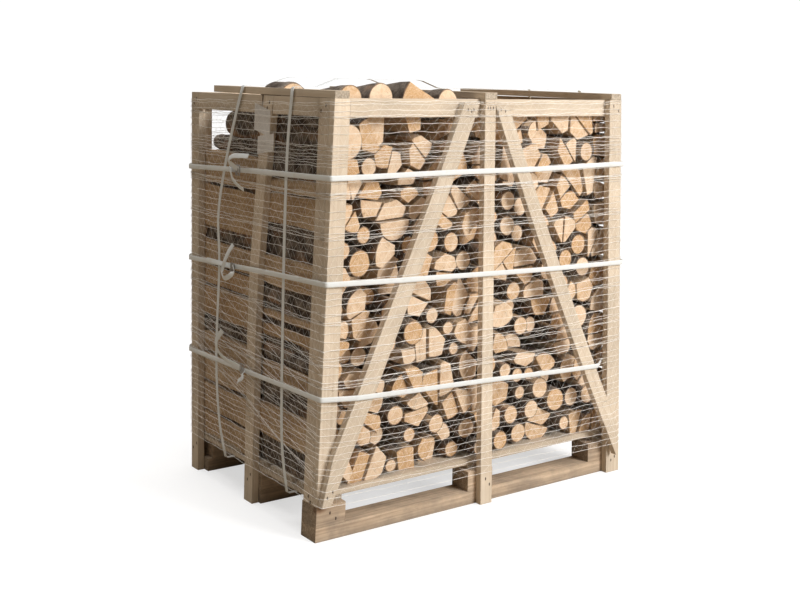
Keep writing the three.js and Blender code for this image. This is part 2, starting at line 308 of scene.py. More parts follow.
def share_round(flat):
    """How far round a closed loop each point is, from 0 to 1."""
    steps = np.linalg.norm(np.roll(flat, -1, 0) - flat, axis=1)
    return np.concatenate([[0], np.cumsum(steps)[:-1]]) / steps.sum()


def raised(flat, height):
    """Flat points with a height each."""
    return np.column_stack([flat, np.broadcast_to(height, len(flat))])


# ---------------------------------------------------------------- material helpers


def plug(tree, value, socket):
    """Links a socket, or sets a plain value."""
    if isinstance(value, bpy.types.NodeSocket):
        tree.links.new(value, socket)
    else:
        socket.default_value = value


def add_node(tree, kind, inputs=(), **settings):
    made = tree.nodes.new("ShaderNode" + kind)
    for name, value in settings.items():
        setattr(made, name, value)
    for name, value in dict(inputs).items():
        plug(tree, value, made.inputs[name])
    return made


def calc(tree, operation, *values, clamp=False):
    made = add_node(tree, "Math", enumerate(values), operation=operation, use_clamp=clamp)
    return made.outputs[0]


def product(tree, a, b):
    return calc(tree, "MULTIPLY", a, b)


def total(tree, a, b, clamp=False):
    return calc(tree, "ADD", a, b, clamp=clamp)


def difference(tree, a, b):
    return calc(tree, "SUBTRACT", a, b)


def vector_calc(tree, operation, a, b, output=0):
    made = add_node(tree, "VectorMath", {0: a, 1: b}, operation=operation)
    return made.outputs[output]


def mixed(tree, factor, a, b, kind="MIX"):
    made = add_node(tree, "Mix", {0: factor, 6: a, 7: b}, data_type="RGBA", blend_type=kind)
    return made.outputs[2]


def spread(tree, value, low, high, to_low=0.0, to_high=1.0):
    """Stretches a range of a value to another range, and clamps it."""
    made = add_node(tree, "MapRange", {0: value, 1: low, 2: high, 3: to_low, 4: to_high})
    return made.outputs[0]


def object_place(tree):
    """The place of each point on its own object."""
    return add_node(tree, "TexCoord").outputs["Object"]


def mark(tree, name):
    """A mark that the shape left on the mesh."""
    return add_node(tree, "Attribute", attribute_name=name).outputs["Vector"]


def over(tree, colour, mask, tone, most=None):
    """Lays a tone over a colour where the mask is, no more strongly than most."""
    if most is not None:
        mask = product(tree, mask, most)
    return mixed(tree, mask, colour, (*tone, 1.0))


def greyed(tree, colour, grey):
    """A colour darkened or lightened by a grey."""
    return mixed(tree, 1.0, colour, joined(tree, grey, grey, grey), "MULTIPLY")


def cloudy(tree, vector, scale, detail=3.0, roughness=0.55, distortion=0.0):
    made = add_node(tree, "TexNoise", {"Vector": vector, "Scale": scale, "Detail": detail,
                                       "Roughness": roughness, "Distortion": distortion})
    return made.outputs["Fac"]


def stretched(tree, vector, scale):
    return add_node(tree, "Mapping", {"Vector": vector, "Scale": scale}).outputs[0]


def parted(tree, vector):
    return add_node(tree, "SeparateXYZ", {0: vector}).outputs


def joined(tree, x, y, z):
    return add_node(tree, "CombineXYZ", {0: x, 1: y, 2: z}).outputs[0]


def new_group(name, inputs, outputs):
    """A shader node group and its two end nodes."""
    group = bpy.data.node_groups.new(name, "ShaderNodeTree")
    kinds = {"value": "NodeSocketFloat", "vector": "NodeSocketVector"}
    for label, kind in inputs:
        group.interface.new_socket(label, in_out="INPUT", socket_type=kinds[kind])
    for label, kind in outputs:
        group.interface.new_socket(label, in_out="OUTPUT", socket_type=kinds[kind])
    given = group.nodes.new("NodeGroupInput").outputs
    return group, given, group.nodes.new("NodeGroupOutput").inputs


def placed(tree, group, inputs):
    """A group's node in a material, with its own values."""
    made = tree.nodes.new("ShaderNodeGroup")
    made.node_tree = bpy.data.node_groups[group]
    for name, value in inputs.items():
        plug(tree, value, made.inputs[name])
    return made.outputs


def new_material(name, **shader):
    """A material, its tree and its Principled shader with plain values set on it."""
    material = bpy.data.materials.new(name)
    material.use_nodes = True
    tree = material.node_tree
    principled = tree.nodes["Principled BSDF"]
    for socket, value in shader.items():
        principled.inputs[socket.replace("_", " ")].default_value = value
    return material, tree, principled.inputs


def bumped(tree, height, strength, distance):
    made = add_node(tree, "Bump", {"Height": height, "Strength": strength, "Distance": distance})
    return made.outputs[0]


def link_finish(tree, shader, colour, roughness):
    """Links a material's colour and roughness."""
    plug(tree, colour, shader["Base Color"])
    plug(tree, roughness, shader["Roughness"])


def make_fibre_group():
    """Wood fibres along Z: soft streaks, fine dark lines and a slow cloud."""
    group, given, result = new_group(
        "wood_fibre", [("Vector", "vector"), ("Width", "value"), ("Along", "value")],
        [("Streaks", "value"), ("Lines", "value"), ("Cloud", "value")])
    bent = cloudy(group, given["Vector"], 3.0, 2.0)
    x, y, z = parted(group, given["Vector"])
    offset = product(group, difference(group, bent, 0.5), 0.02)
    across_x = product(group, total(group, x, offset), given["Width"])
    across_y = product(group, total(group, y, offset), given["Width"])
    along = product(group, z, given["Along"])
    fibre = joined(group, across_x, across_y, along)
    plug(group, cloudy(group, fibre, 1.0, 4.0, 0.6), result["Streaks"])
    fine = cloudy(group, fibre, 5.5, 3.0, 0.6)
    plug(group, spread(group, fine, 0.56, 0.74), result["Lines"])
    plug(group, cloudy(group, given["Vector"], 7.0, 2.0), result["Cloud"])


def make_edge_group():
    """Where a board's corners are rubbed, broken up by noise."""
    group, given, result = new_group(
        "rubbed_edge", [("Vector", "vector"), ("Reach", "value")],
        [("Edge", "value"), ("Normal", "vector")])
    eased = add_node(group, "Bevel", {"Radius": given["Reach"]}, samples=4)
    true = add_node(group, "NewGeometry").outputs["Normal"]
    along = vector_calc(group, "DOT_PRODUCT", eased.outputs[0], true, 1)
    broken = cloudy(group, given["Vector"], 38.0, 3.0)
    turned = spread(group, along, 0.995, 0.86)
    plug(group, product(group, turned, spread(group, broken, 0.35, 0.62)),
         result["Edge"])
    plug(group, eased.outputs[0], result["Normal"])


def make_knot_group():
    """Knots along Z: 1 in a knot's dark ring, and its paler eye."""
    group, given, result = new_group(
        "wood_knot", [("Vector", "vector"), ("Share", "value")],
        [("Knot", "value"), ("Eye", "value")])
    wavy = vector_calc(group, "ADD", given["Vector"], stretched(
        group, add_node(group, "TexNoise", {"Vector": given["Vector"], "Scale": 30.0}).outputs[1],
        (0.008, 0.008, 0.02)))
    cells = add_node(group, "TexVoronoi", {"Vector": stretched(group, wavy, (9.0, 9.0, 3.6)),
                                           "Scale": 1.0, "Randomness": 1.0})
    shown = calc(group, "LESS_THAN", parted(group, cells.outputs["Color"])[0], given["Share"])
    near = cells.outputs["Distance"]
    plug(group, product(group, spread(group, near, 0.13, 0.06), shown), result["Knot"])
    plug(group, product(group, spread(group, near, 0.06, 0.03), shown), result["Eye"])


# ---------------------------------------------------------------- timber


def board_direction(node):
    """The way a board's grain runs: its longest direction."""
    points = np.array([v.co[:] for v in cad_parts[node].data.vertices])
    spread_along = np.linalg.eigh(np.cov((points - points.mean(0)).T))[1][:, -1]
    return Vector(spread_along).normalized()


def board_material(node, pale, dark, weathered, rng):
    """Sawn timber with its grain along this board."""
    way = board_direction(node)
    if node.startswith("block"):
        way = Vector((1, 0, 0))
    material, tree, shader = new_material(node + "_timber", Roughness=0.85)
    place = object_place(tree)
    turn = way.rotation_difference(Vector((0, 0, 1))).to_euler()
    along = add_node(tree, "Mapping", {
        "Vector": place, "Rotation": turn,
        "Location": [rng.uniform(-5, 5) for _ in range(3)]}).outputs[0]
    fibre = placed(tree, "wood_fibre", {
        "Vector": along, "Width": rng.uniform(95, 150), "Along": rng.uniform(2.0, 3.4)})
    edge = placed(tree, "rubbed_edge", {"Vector": along, "Reach": 0.003})
    knot = placed(tree, "wood_knot", {"Vector": along, "Share": 0.16 if weathered else 0.10})
    light = rng.uniform(0.90, 1.08)
    pale, dark = ([c * light for c in tone[:3]] + [1.0] for tone in (pale, dark))
    amount = spread(tree, fibre["Streaks"], 0.36, 0.68)
    colour = mixed(tree, product(tree, amount, 0.62 if weathered else 0.48), pale, dark)
    lines = product(tree, fibre["Lines"], 0.55 if weathered else 0.38)
    colour = mixed(tree, lines, colour, dark)
    clouds = spread(tree, fibre["Cloud"], 0.3, 0.7, 0.86, 1.08)
    colour = greyed(tree, colour, clouds)
    colour = over(tree, colour, knot["Knot"], (0.20, 0.10, 0.045), 0.75)
    colour = over(tree, colour, knot["Eye"], (0.34, 0.19, 0.09), 0.5)
    true = add_node(tree, "NewGeometry").outputs["Normal"]
    facing = calc(tree, "ABSOLUTE", vector_calc(tree, "DOT_PRODUCT", true, way, 1))
    sawn_end = spread(tree, facing, 0.75, 0.9)
    end_spots = spread(tree, cloudy(tree, place, 260.0, 4.0), 0.35, 0.65, 0.45, 0.9)
    end_tone = greyed(tree, colour, end_spots)
    colour = mixed(tree, sawn_end, colour, end_tone)
    colour = over(tree, colour, edge["Edge"], (0.36, 0.24, 0.14), 0.45)
    if weathered:
        stain = spread(tree, cloudy(tree, place, 16.0, 4.0, 0.65), 0.45, 0.75, 0.0, 0.55)
        colour = over(tree, colour, stain, (0.20, 0.165, 0.135))
        low = spread(tree, parted(tree, place)[2], 0.03, 0.0, 0.0, 0.45)
        colour = over(tree, colour, low, (0.15, 0.12, 0.09))
    link_finish(tree, shader, colour, spread(tree, fibre["Streaks"], 0.3, 0.7, 0.78, 0.93))
    z = parted(tree, along)[2]
    saw = calc(tree, "SINE", total(tree, product(tree, z, 1500.0),
                                   product(tree, fibre["Cloud"], 60.0)))
    height = total(tree, fibre["Streaks"], product(tree, saw, 0.09))
    height = difference(tree, height, product(tree, fibre["Lines"], 0.5))
    bump = add_node(tree, "Bump", {"Height": height, "Strength": 0.55, "Distance": 0.0014,
                                   "Normal": edge["Normal"]})
    plug(tree, bump.outputs[0], shader["Normal"])
    return material


class CRATE_OT_finish_timber(bpy.types.Operator):
    """Gives every board of the pallet and frame its own sawn timber"""

    bl_idname = "crate.finish_timber"
    bl_label = "Finish the timber"

    def execute(self, context):
        make_fibre_group()
        make_edge_group()
        make_knot_group()
        rng = random.Random(11)
        for name in sorted(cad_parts):
            if name.startswith(NOT_BOARDS):
                continue
            weathered = name.startswith(("skid", "block"))
            kind = "weathered" if weathered else "sawn"
            finish = board_material(name, rgba(kind + "_pale"), rgba(kind + "_dark"),
                                    weathered, rng)
            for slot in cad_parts[name].material_slots:
                slot.material = finish
        return {"FINISHED"}


# ---------------------------------------------------------------- nails


class CRATE_OT_drive_nails(bpy.types.Operator):
    """Drives the nails where boards cross"""

    bl_idname = "crate.drive_nails"
    bl_label = "Drive the nails"

    def head(self, shape, at, outward, across, radius=0.0034):
        """One long, domed staple, sunk a little into the board."""
        up = np.cross(outward, across)
        rings, sides = [(1.0, -0.0004), (1.0, 0.0007), (0.62, 0.0011)], 10
        points = [at + outward * lift
                  + (across * math.cos(a) * 0.62 + up * math.sin(a) * 1.5) * radius * size
                  for size, lift in rings
                  for a in np.linspace(0, 2 * math.pi, sides, endpoint=False)]
        faces = ring_faces(len(rings), sides)
        faces.append(tuple(2 * sides + i for i in range(sides)))
        shape.add(points, faces)

    def execute(self, context):
        rng = random.Random(5)
        material, tree, shader = new_material("nail_steel", Metallic=0.8, Roughness=0.5)
        place = object_place(tree)
        rust = spread(tree, cloudy(tree, place, 420.0, 4.0), 0.4, 0.65)
        plug(tree, mixed(tree, rust, (0.10, 0.095, 0.09, 1.0), (0.11, 0.05, 0.025, 1.0)),
             shader["Base Color"])
        plug(tree, spread(tree, rust, 0.0, 1.0, 0.4, 0.85), shader["Roughness"])
        # x and height of each nail on the long side, and how far it stands out from the rails
        outer, rail = BOARD, 0.0
        long_side = [(-0.120, 1.190, outer), (-0.106, 1.186, outer), (-0.098, 1.190, outer),
                     (-0.040, 1.194, outer), (-0.029, 1.194, outer), (-0.018, 1.194, outer),
                     (0.010, 1.184, outer), (0.018, 1.189, outer), (0.034, 1.186, outer),
                     (0.542, 1.2, outer), (0.566, 1.186, outer),
                     (-0.575, 0.135, outer), (-0.560, 0.150, outer), (0.0, 0.08, outer),
                     (0.014, 0.06, outer), (0.545, 0.04, outer), (0.565, 0.05, outer),
                     (-0.55, 0.08, rail), (-0.53, 0.06, rail)]
        for side, turn in (("front", 1), ("back", -1)):
            shape = Shape()
            for x, z, out in long_side:
                at = np.array([x + rng.uniform(-0.003, 0.003), -DEPTH / 2 - out, z])
                self.head(shape, at * (turn, turn, 1), np.array([0, -turn, 0.0]),
                          np.array([1.0, 0, 0]))
            shape.make(f"nails_{side}", [material])
        short_side = [(-0.35, 1.2), (-0.33, 1.185), (0.35, 1.2), (0.37, 1.185), (-0.07, 1.2),
                      (-0.058, 1.184), (-0.01, 0.09), (0.008, 0.07), (0.35, 0.09), (0.372, 0.07),
                      (-0.34, 0.125), (-0.355, 0.11)]
        for side, turn in (("left", 1), ("right", -1)):
            shape = Shape()
            for y, z in short_side:
                at = np.array([-SIDE, y + rng.uniform(-0.003, 0.003), z])
                self.head(shape, at * (turn, turn, 1), np.array([-turn, 0.0, 0]),
                          np.array([0, 1.0, 0]))
            shape.make(f"nails_{side}", [material])
        return {"FINISHED"}


# ---------------------------------------------------------------- logs


def dot(a, b):
    """The dot product of two flat directions held as complex numbers."""
    return a.real * b.real + a.imag * b.imag


def cut(outline, way, reach):
    """Keeps the part of a convex outline on the near side of a plane."""
    kept = []
    for a, b in zip(outline, outline[1:] + outline[:1]):
        past_a, past_b = dot(way, a) - reach, dot(way, b) - reach
        if past_a <= 0:
            kept.append(a)
        if (past_a < 0) != (past_b < 0) and past_a != past_b:
            kept.append(a + (b - a) * past_a / (past_a - past_b))
    return kept


def disc(pith, radius, sides=44):
    return [pith + radius * cmath.exp(2j * math.pi * k / sides) for k in range(sides)]


def area(outline):
    return sum((a.conjugate() * b).imag for a, b in zip(outline, outline[1:] + outline[:1])) / 2


class Row:
    """One row of logs across the crate, seen from its end: x across, z up."""

    def __init__(self, seed, top, side):
        self.random = random.Random(seed)
        self.side = side  # -1 for the front row, 1 for the back row
        self.numbers = np.random.default_rng(seed)
        self.top = top  # height of the stack at each x

    def settle(self):
        """Places log middles and radii so that they fill the row without crowding."""
        numbers = self.numbers
        x = numbers.uniform(-LOAD_HALF, LOAD_HALF, LOG_TRIES)
        z = numbers.uniform(DECK_TOP, HEIGHT, LOG_TRIES)
        height = (z - DECK_TOP) / (HEIGHT - DECK_TOP)
        radius = np.where(numbers.random(LOG_TRIES) < 0.66 - 0.52 * height,
                          numbers.uniform(0.027, 0.041, LOG_TRIES),
                          numbers.uniform(0.038, 0.056 + 0.018 * height, LOG_TRIES))
        tops = np.array([self.top(v) for v in x])
        keep = z < tops
        x, z, radius = x[keep], z[keep], radius[keep]
        room = np.mean([self.top(v) for v in np.linspace(-LOAD_HALF, LOAD_HALF, 60)]) - DECK_TOP
        filled = np.cumsum(math.pi * radius ** 2) / (2 * LOAD_HALF * room)
        count = int(np.searchsorted(filled, LOG_FILL))
        x, z, radius = x[:count], z[:count], radius[:count]
        for _ in range(LOG_ROUNDS):
            dx, dz = x[:, None] - x, z[:, None] - z
            apart = np.hypot(dx, dz) + np.eye(count)
            push = np.clip(radius[:, None] + radius - apart, 0, None) * (1 - np.eye(count))
            x = x + 0.3 * (push * dx / apart).sum(1)
            z = z + 0.3 * (push * dz / apart).sum(1)
            tops = np.array([self.top(v) for v in x])
            x = np.clip(x, -LOAD_HALF + 0.75 * radius, LOAD_HALF - 0.75 * radius)
            z = np.clip(z, DECK_TOP + 0.85 * radius, tops - 0.8 * radius)
        return x, z, radius

    def planes(self, i, x, z, radius):
        """The planes between one log and its neighbours, the deck, the sides and the top."""
        here = complex(x[i], z[i])
        gap = sizes().log_gap / 2
        found = [(1 + 0j, LOAD_HALF), (-1 + 0j, LOAD_HALF), (-1j, -DECK_TOP),
                 (1j, self.top(x[i]) + self.random.uniform(-0.012, 0.004))]
        for j in range(len(x)):
            away = complex(x[j], z[j]) - here
            apart = abs(away)
            if j != i and apart < 0.26:
                middle = apart / 2 + (radius[i] ** 2 - radius[j] ** 2) / (2 * apart)
                way = away / apart
                loose = self.random.choice((0.0, 0.001, 0.003, 0.005, 0.009))
                found.append((way, dot(way, here) + middle - gap - loose))
        return found

    def logs(self, i, x, z, radius):
        """The logs in one log's place: a big one has been split in two or three."""
        pick = self.random
        planes = self.planes(i, x, z, radius)
        here = complex(x[i], z[i])
        cell = disc(here, 0.2, 24)
        for way, reach in planes:
            cell = cut(cell, way, reach)
        if len(cell) < 3:
            return []
        middle = sum(cell) / len(cell)
        if radius[i] < 0.049:
            return [self.log(cell, planes, radius[i])]
        angle = pick.uniform(0, math.pi)
        cuts = [cmath.exp(1j * angle)]
        if radius[i] > 0.064:
            cuts.append(cmath.exp(1j * (angle + pick.uniform(1.2, 1.9))))
        parts = [planes]
        for way in cuts:
            slack = pick.uniform(0.001, 0.004)
            here = middle + pick.uniform(-0.008, 0.008)
            split = parts.pop(0)
            parts += [split + [(way, dot(way, here) - slack)],
                      split + [(-way, -dot(way, here) - slack)]]
        found = []
        for part in parts:
            piece = cell
            for way, reach in part[len(planes):]:
                piece = cut(piece, way, reach)
            if len(piece) > 2:
                found.append(self.log(piece, part, 0.06))
        return found

    def log(self, cell, planes, radius):
        """One log's outline, its pith and how far its bark is from the pith."""
        pick = self.random
        middle = sum(cell) / len(cell)
        low, high = min(p.real for p in cell), max(p.real for p in cell)
        outer = max(-low, high) > LOAD_HALF - 0.004
        on_top = max(p.imag for p in cell) > self.top(middle.real) - 0.02
        barked = outer and self.side < 0 and middle.real < 0 and middle.imag > 1.03
        whole = 0.84 if radius < 0.041 else 0.4 if radius < 0.05 else 0.0
        chance = pick.random()
        if barked:
            # the top ones at the front left corner turn their bark outwards
            pith = complex(high, middle.imag)
            bark = (high - low) * 0.99
        elif outer and not (on_top or pick.random() < 0.2):
            # a split face shows at the side of the stack
            inward = 1 if low < -LOAD_HALF + 0.01 else -1
            pith = min(cell, key=lambda p: p.real * inward) * 0.6 + middle * 0.4
            pith = complex(low if inward > 0 else high, pith.imag)
            bark = max(abs(p - pith) for p in cell) * pick.uniform(0.88, 1.0)
        elif chance < whole and not on_top:
            pith = middle
            bark = min(reach - dot(way, middle) for way, reach in planes) * pick.uniform(1.0, 1.1)
        elif on_top:
            pith = min(cell, key=lambda p: p.imag) * 0.7 + middle * 0.3
            bark = max(abs(p - pith) for p in cell) * pick.uniform(0.84, 0.94)
        elif chance < whole + 0.3:
            a = pick.randrange(len(cell))
            pith = (cell[a] + cell[(a + 1) % len(cell)]) / 2
            pith += (middle - pith) * pick.uniform(-0.1, 0.15)
            bark = max(abs(p - pith) for p in cell) * pick.uniform(0.76, 0.92)
        else:
            pith = pick.choice(cell)
            pith += (pith - middle) * pick.uniform(-0.1, 0.12)
            bark = max(abs(p - pith) for p in cell) * pick.uniform(0.74, 0.92)
        outline = disc(pith, bark)
        for way, reach in planes:
            outline = cut(outline, way, reach)
        if len(outline) < 5 or area(outline) < 0.0009:
            return None
        return outline, pith, bark


def filled_in(outline, longest=0.013):
    """Adds points along long straight edges, and drops ones that nearly coincide."""
    kept = [p for p, q in zip(outline, outline[1:] + outline[:1]) if abs(p - q) > 0.0012]
    full = []
    for a, b in zip(kept, kept[1:] + kept[:1]):
        steps = max(1, math.ceil(abs(b - a) / longest))
        full += [a + (b - a) * k / steps for k in range(steps)]
    return full


def add_log(shape, outline, pith, bark, near, far, pick, tilt=0.006, fall=0.0):
    """Lofts one log along Y from its near end to its far end, both sawn off."""
    outline = filled_in(outline)
    n = len(outline)
    middle = sum(outline) / n
    on_bark = [abs(p - pith) > bark * 0.984 for p in outline]
    seed = pick.uniform(0, 90)
    bow = pick.uniform(-tilt, tilt) + 1j * pick.uniform(-tilt, tilt)
    drift = pick.uniform(-tilt, tilt) + 1j * (pick.uniform(-tilt, tilt) - fall)
    taper, twist = pick.uniform(-0.06, 0.02), pick.uniform(-0.05, 0.05)
    slope_x, slope_z = pick.uniform(-0.06, 0.06), pick.uniform(-0.06, 0.06)
    tint = min(1.0, max(0.0, pick.gauss(0.45, 0.36)))
    way = 1 if far > near else -1
    stations = np.linspace(0, 1, 9)
    points, piths = [], []

    def place(p, t, inset=1.0, lift=0.0):
        """One point of the log at t along it."""
        moved = middle + (p - middle) * inset * (1 + taper * t) * cmath.exp(1j * twist * t)
        shift = drift * t + bow * math.sin(math.pi * t)
        end = 1 - 2 * t if t in (0, 1) else 0
        saw = ((p - middle).real * slope_x + (p - middle).imag * slope_z) * inset * abs(end)
        y = near + (far - near) * t + way * lift * end + saw
        points.append(((moved + shift).real, y, (moved + shift).imag))
        piths.append((moved.real - pith.real, moved.imag - pith.imag, y))

    for t in stations:
        for k, p in enumerate(outline):
            if on_bark[k]:
                rough = 0.0016 * noise.noise((p.real * 55, p.imag * 55, seed + t * 9))
            else:
                rough = 0.0026 * noise.noise((p.real * 70, p.imag * 70, seed + t * 2.2))
            outward = (p - middle) / (abs(p - middle) + 1e-9)
            swell = 0.003 if 0 < t < 1 else -0.0008  # the gaps close up inside the stack
            place(p + outward * (rough + swell), float(t), lift=0.0012)
    for t, insets in ((0.0, (0.955, 0.5)), (1.0, (0.955, 0.5))):
        for inset in insets:
            for p in outline:
                place(p, t, inset, 0.0007 * noise.noise((p.real * 90, p.imag * 90, seed)) * inset)
        place(middle, t, 1.0)

    rings = len(stations)
    faces = ring_faces(rings, n)
    finish = [2 if on_bark[k] and on_bark[(k + 1) % n] else 1 for k in range(n)] * (rings - 1)
    first = rings * n
    for end, edge in ((0, 0), (1, (rings - 1) * n)):
        base = first + end * (2 * n + 1)
        for k in range(n):
            q = (k + 1) % n
            loops = [(edge + k, edge + q, base + q, base + k),
                     (base + k, base + q, base + n + q, base + n + k),
                     (base + n + k, base + n + q, base + 2 * n)]
            faces += loops if end else [face[::-1] for face in loops]
            finish += [0] * 3
    if way < 0:
        faces = [face[::-1] for face in faces]
    shape.add(points, faces, finish, pith=piths, log=[(bark, tint, seed)] * len(points))


def end_grain_material():
    """Sawn birch end: rings round the pith, checks, saw marks and a bark rim."""
    material, tree, shader = new_material("birch_end_grain", Roughness=0.88)
    pith = mark(tree, "pith")
    log = parted(tree, mark(tree, "log"))
    x, z, _ = parted(tree, pith)
    flat = joined(tree, x, z, log[2])
    wobble = cloudy(tree, flat, 28.0, 2.0)
    out = calc(tree, "SQRT", total(tree, product(tree, x, x), product(tree, z, z)))
    shifted = total(tree, out, product(tree, wobble, 0.012))
    rings = calc(tree, "SINE", product(tree, shifted, 2400.0))
    patches = difference(tree, cloudy(tree, flat, 42.0, 4.0, 0.65), 0.5)
    tone = total(tree, log[1], product(tree, patches, 2.6), clamp=True)
    colour = mixed(tree, tone, rgba("end_pale"), rgba("end_deep"))
    colour = mixed(tree, spread(tree, rings, 0.2, 1.0, 0.0, 0.22), colour, (0.42, 0.24, 0.11, 1.0))
    heart = spread(tree, shifted, 0.022, 0.006, 0.0, 0.3)
    colour = over(tree, colour, heart, (0.50, 0.28, 0.13))
    fuzz = spread(tree, cloudy(tree, flat, 230.0, 5.0, 0.75), 0.40, 0.66, 0.0, 0.5)
    colour = over(tree, colour, fuzz, (0.88, 0.73, 0.56))
    pits = spread(tree, cloudy(tree, flat, 330.0, 3.0, 0.7), 0.56, 0.70, 0.0, 0.5)
    colour = over(tree, colour, pits, (0.40, 0.235, 0.115))
    angle = calc(tree, "ARCTAN2", z, x)
    check = cloudy(tree, joined(tree, product(tree, angle, 3.0), 0.0, log[2]), 2.4, 3.0)
    line = spread(tree, calc(tree, "ABSOLUTE", difference(tree, check, 0.5)), 0.006, 0.0)
    reach = spread(tree, cloudy(tree, flat, 60.0, 1.0), 0.48, 0.6)
    line = product(tree, line, reach)
    colour = over(tree, colour, line, (0.12, 0.065, 0.03), 0.75)
    to_bark = difference(tree, log[0], out)
    rim_wobble = product(tree, wobble, 0.0028)
    rim = spread(tree, difference(tree, to_bark, rim_wobble), 0.0030, 0.0010)
    colour = over(tree, colour, rim, (0.15, 0.09, 0.055), 0.9)
    link_finish(tree, shader, colour, spread(tree, fuzz, 0.0, 0.5, 0.82, 0.95))
    curved = product(tree, product(tree, x, x), 9000.0)
    saw = calc(tree, "SINE", total(tree, product(tree, z, 1900.0), curved))
    height = total(tree, product(tree, saw, 0.25), fuzz)
    height = difference(tree, height, product(tree, line, 2.0))
    plug(tree, bumped(tree, height, 0.5, 0.0012), shader["Normal"])
    return material


def log_side_vector(tree):
    """A log's own coordinates with its length as Z."""
    pith = parted(tree, mark(tree, "pith"))
    log = parted(tree, mark(tree, "log"))
    lengthwise = total(tree, pith[2], log[2])
    return joined(tree, pith[0], pith[1], lengthwise), log


def split_material():
    """Split birch: torn fibres along the log with browner heartwood."""
    material, tree, shader = new_material("birch_split", Roughness=0.85)
    vector, log = log_side_vector(tree)
    fibre = placed(tree, "wood_fibre", {"Vector": vector, "Width": 170.0, "Along": 5.0})
    deep = mixed(tree, log[1], rgba("split"), (0.50, 0.34, 0.20, 1.0))
    streaks = spread(tree, fibre["Streaks"], 0.35, 0.66, 0.0, 0.85)
    colour = mixed(tree, streaks, deep, (0.36, 0.23, 0.13, 1.0))
    colour = over(tree, colour, fibre["Lines"], (0.18, 0.11, 0.06), 0.65)
    pale = spread(tree, fibre["Cloud"], 0.5, 0.75, 0.0, 0.5)
    colour = over(tree, colour, pale, (0.72, 0.55, 0.36))
    link_finish(tree, shader, colour, spread(tree, fibre["Streaks"], 0.3, 0.7, 0.75, 0.95))
    height = difference(tree, fibre["Streaks"], product(tree, fibre["Lines"], 0.4))
    plug(tree, bumped(tree, height, 0.8, 0.004), shader["Normal"])
    return material


def bark_material():
    """Birch bark: grey and brown patches, dark scars and dashes across the log."""
    material, tree, shader = new_material("birch_bark", Roughness=0.8)
    vector, _ = log_side_vector(tree)
    patches = cloudy(tree, vector, 22.0, 5.0, 0.65)
    colour = mixed(tree, spread(tree, patches, 0.40, 0.60), rgba("bark_dark"), rgba("bark_pale"))
    peeled = spread(tree, cloudy(tree, stretched(tree, vector, (1.0, 1.0, 0.5)), 13.0, 2.0),
                    0.56, 0.66, 0.0, 0.8)
    colour = over(tree, colour, peeled, (0.30, 0.17, 0.09))
    across = cloudy(tree, stretched(tree, vector, (42.0, 42.0, 420.0)), 1.0, 3.0, 0.6)
    dashes = spread(tree, across, 0.60, 0.68)
    colour = over(tree, colour, dashes, (0.05, 0.035, 0.025), 0.85)
    link_finish(tree, shader, colour, spread(tree, patches, 0.3, 0.7, 0.9, 0.6))
    height = difference(tree, cloudy(tree, vector, 90.0, 5.0, 0.7), product(tree, dashes, 0.5))
    plug(tree, bumped(tree, height, 0.9, 0.004), shader["Normal"])
    return material


